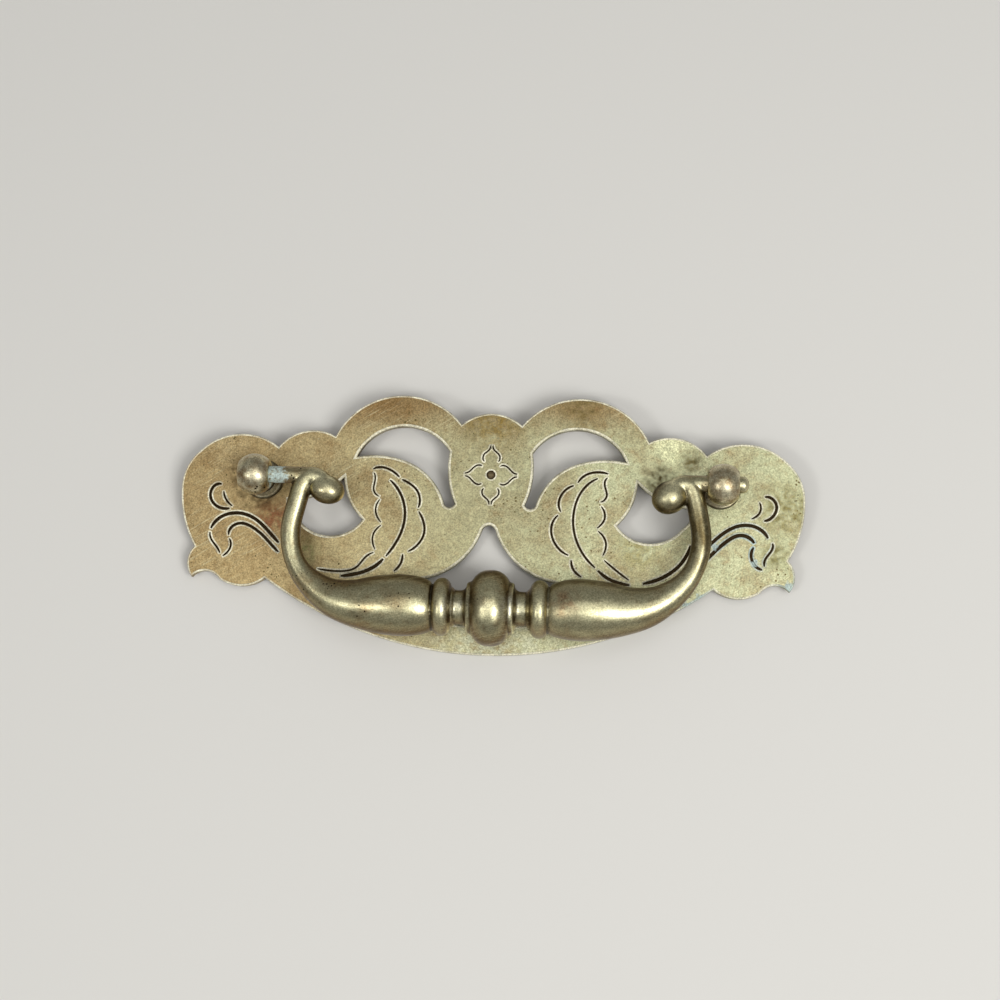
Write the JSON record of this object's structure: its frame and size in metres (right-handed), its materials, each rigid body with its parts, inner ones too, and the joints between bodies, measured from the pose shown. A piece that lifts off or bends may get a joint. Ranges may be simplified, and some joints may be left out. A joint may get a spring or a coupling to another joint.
{
  "type": "bail pull",
  "caption": "Bail pull: pierced and engraved brass backplate, ball-headed posts and a swinging bail with turned bellies.",
  "frame": {"origin": "on the back face of the backplate, midway between the two posts", "axes": "+X along the backplate to the right, +Y towards its top edge, +Z out of its front"},
  "size_m": [0.1214, 0.0503, 0.0193],
  "materials": {
    "plate_brass": "aged, fine brushed",
    "post_brass": "aged, mottled",
    "bail_brass": "aged, handled"
  },
  "bodies": {
    "mounting": {"backplate": "plate_brass", "left_post": "post_brass", "right_post": "post_brass"},
    "bail": {"bail": "bail_brass"}
  },
  "joints": [
    {"name": "bail_swing", "type": "hinge", "parent": "mounting", "child": "bail", "pos_m": [0, 0, 0.0102], "axis": [-1, 0, 0], "range_deg": [0, 188]}
  ]
}
